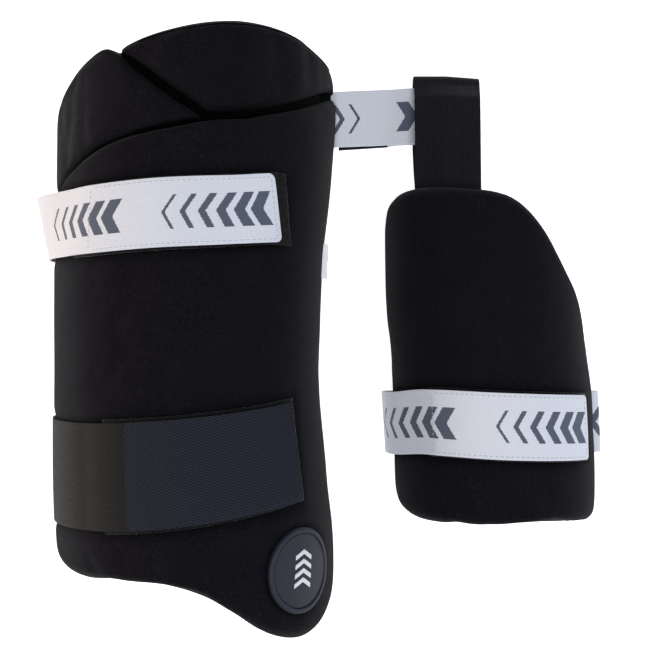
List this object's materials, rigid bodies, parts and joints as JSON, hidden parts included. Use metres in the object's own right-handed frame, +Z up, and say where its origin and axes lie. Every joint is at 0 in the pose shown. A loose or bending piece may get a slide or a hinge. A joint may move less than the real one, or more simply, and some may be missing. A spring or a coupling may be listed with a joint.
{
  "type": "combination cricket thigh guard",
  "caption": "Arched foam thigh guard with a stepped hip end, a short inner thigh guard, elastic leg straps with hook tape and a waist strap through a belt loop.",
  "frame": {"origin": "on the surface the guard lies on, under the middle of its box", "axes": "+X from the outer guard across to the inner guard, +Y along the leg towards the waist, +Z up, away from the leg"},
  "size_m": [0.3618, 0.3586, 0.0943],
  "materials": {
    "knit_cover": "black brushed knit over foam",
    "lining_cloth": "black air mesh lining",
    "white_elastic": "white woven elastic with a slate woven pattern",
    "black_elastic": "black ribbed elastic",
    "hook_and_loop": "black hook and loop tape",
    "belt_webbing": "black herringbone webbing",
    "badge_rubber": "slate moulded rubber",
    "label_cloth": "blank white woven label"
  },
  "bodies": {
    "root": {"thigh_pad": "knit_cover", "hip_wedge_pad": "knit_cover", "hip_dome_pad": "knit_cover", "outer_lining": "lining_cloth", "upper_loop_patch": "hook_and_loop", "upper_hook_tape": "hook_and_loop", "upper_strap": "white_elastic", "lower_loop_patch": "hook_and_loop", "lower_hook_tape": "hook_and_loop", "lower_strap": "black_elastic", "badge": "badge_rubber", "side_label": "label_cloth", "waist_strap": "white_elastic", "waist_hook_tape": "hook_and_loop", "inner_pad": "knit_cover", "inner_lining": "lining_cloth", "inner_loop_patch": "hook_and_loop", "inner_hook_tape": "hook_and_loop", "inner_strap": "white_elastic", "belt_loop": "belt_webbing"}
  },
  "joints": []
}
